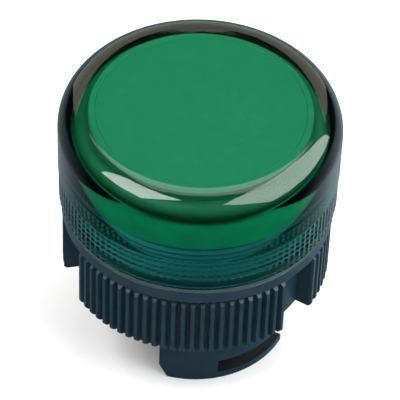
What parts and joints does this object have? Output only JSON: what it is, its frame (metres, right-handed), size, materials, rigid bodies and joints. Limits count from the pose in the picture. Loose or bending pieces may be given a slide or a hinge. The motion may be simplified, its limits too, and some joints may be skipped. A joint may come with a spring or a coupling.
{
  "type": "panel pilot light head",
  "caption": "Round pilot light head with a clear green lens cap over a diffuser, on a knurled dark collar with two bayonet claws for a panel hole.",
  "frame": {"origin": "centre of the panel hole, in the plane of the collar's seat on the panel", "axes": "+Z along the axis towards the lens face, -Y towards the viewer, +X to the viewer's right; the two claws point down -Z"},
  "size_m": [0.03, 0.03, 0.0315],
  "materials": {
    "collar": "moulded, slight sheen",
    "gasket": "matte rubber",
    "seal": "matte rubber",
    "holder": "moulded, matte",
    "lamp": "moulded clear resin",
    "contact": "turned",
    "diffuser": "translucent, satin",
    "disc": "translucent, satin",
    "lens": "transparent, polished"
  },
  "bodies": {
    "collar": {"collar_body": "collar", "panel_gasket": "gasket", "lens_seal": "seal", "lamp_holder": "holder", "led_lamp": "lamp", "contact_pin_front": "contact", "contact_pin_back": "contact"},
    "diffuser": {"diffuser_cup": "diffuser", "marking_disc": "disc"},
    "lens": {"lens_cap": "lens"}
  },
  "joints": [
    {"name": "lens_lift", "type": "slide", "parent": "collar", "child": "diffuser", "axis": [0, 0, 1], "range_m": [0, 0.015]},
    {"name": "lens_turn", "type": "hinge", "parent": "diffuser", "child": "lens", "pos_m": [0, 0, 0.016], "axis": [0, 0, 1], "range_deg": [0, 360]}
  ]
}
